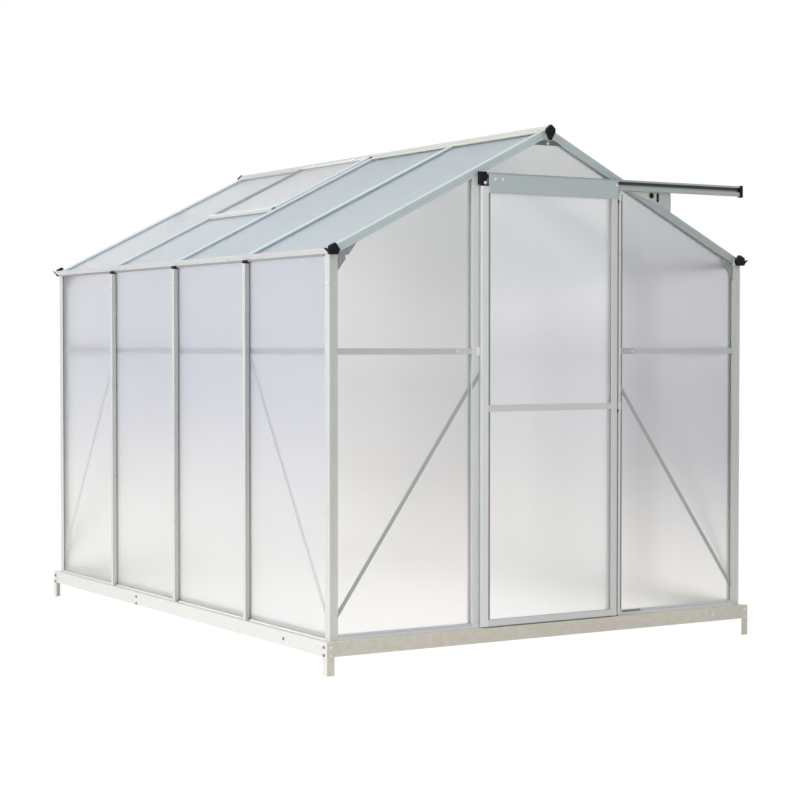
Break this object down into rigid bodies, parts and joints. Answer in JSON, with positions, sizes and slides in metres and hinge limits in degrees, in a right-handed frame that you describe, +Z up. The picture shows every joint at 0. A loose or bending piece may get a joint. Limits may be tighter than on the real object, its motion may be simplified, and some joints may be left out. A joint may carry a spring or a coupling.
{
  "type": "greenhouse",
  "caption": "Garden greenhouse with a pitched roof: aluminium glazing bars and twin-wall plastic sheets on a galvanised base, with a sliding gable door and a roof vent.",
  "frame": {"origin": "on the ground under the middle of the base, level with the lower ends of the stakes", "axes": "+Z up, the door gable faces -Y, +X to the right seen from the front, +Y along the ridge to the rear"},
  "size_m": [1.9, 2.535, 1.95],
  "materials": {
    "galvanised_steel": "galvanised sheet steel, dull and faintly spangled",
    "aluminium": "mill-finish aluminium extrusion, satin, with fine lines along its length",
    "plate_grey": "flat aluminium strip and plate, darker grey satin",
    "black_plastic": "moulded black plastic, semi-matt",
    "polycarbonate": "translucent twin-wall sheet with fine upright flutes"
  },
  "bodies": {
    "house": {"base_front_rail": "galvanised_steel", "base_rear_rail": "galvanised_steel", "base_side_rails": "galvanised_steel", "base_splice_plates": "galvanised_steel", "corner_stakes": "galvanised_steel", "front_sill": "aluminium", "rear_sill": "aluminium", "side_sills": "aluminium", "front_corner_posts": "aluminium", "rear_corner_posts": "aluminium", "left_wall_studs": "aluminium", "right_wall_studs": "aluminium", "rear_wall_studs": "aluminium", "door_jambs": "aluminium", "door_lintel": "aluminium", "left_eave_rail": "aluminium", "right_eave_rail": "aluminium", "ridge_rail": "aluminium", "front_rafters": "aluminium", "rear_rafters": "aluminium", "left_roof_bars": "aluminium", "right_roof_bars": "aluminium", "front_gable_rails": "aluminium", "rear_gable_rails": "aluminium", "side_wall_purlins": "aluminium", "door_track": "aluminium", "track_bracket": "aluminium", "vent_side_bars": "aluminium", "vent_end_bars": "aluminium", "vent_transom": "aluminium", "front_gable_braces": "plate_grey", "rear_gable_braces": "plate_grey", "side_wall_braces": "plate_grey", "gusset_plates": "plate_grey", "eave_end_caps": "black_plastic", "ridge_end_caps": "black_plastic", "track_end_stops": "black_plastic", "left_wall_sheets": "polycarbonate", "right_wall_sheets": "polycarbonate", "left_roof_sheets": "polycarbonate", "right_roof_sheets": "polycarbonate", "front_gable_sheets": "polycarbonate", "rear_gable_sheets": "polycarbonate", "vent_sheet": "polycarbonate"},
    "door": {"door_stiles": "aluminium", "door_rails": "aluminium", "door_top_plate": "aluminium", "door_sheets": "polycarbonate", "door_rollers": "black_plastic"}
  },
  "joints": [
    {"name": "door_slide", "type": "slide", "parent": "house", "child": "door", "axis": [1, 0, 0], "range_m": [0, 0.57]}
  ]
}
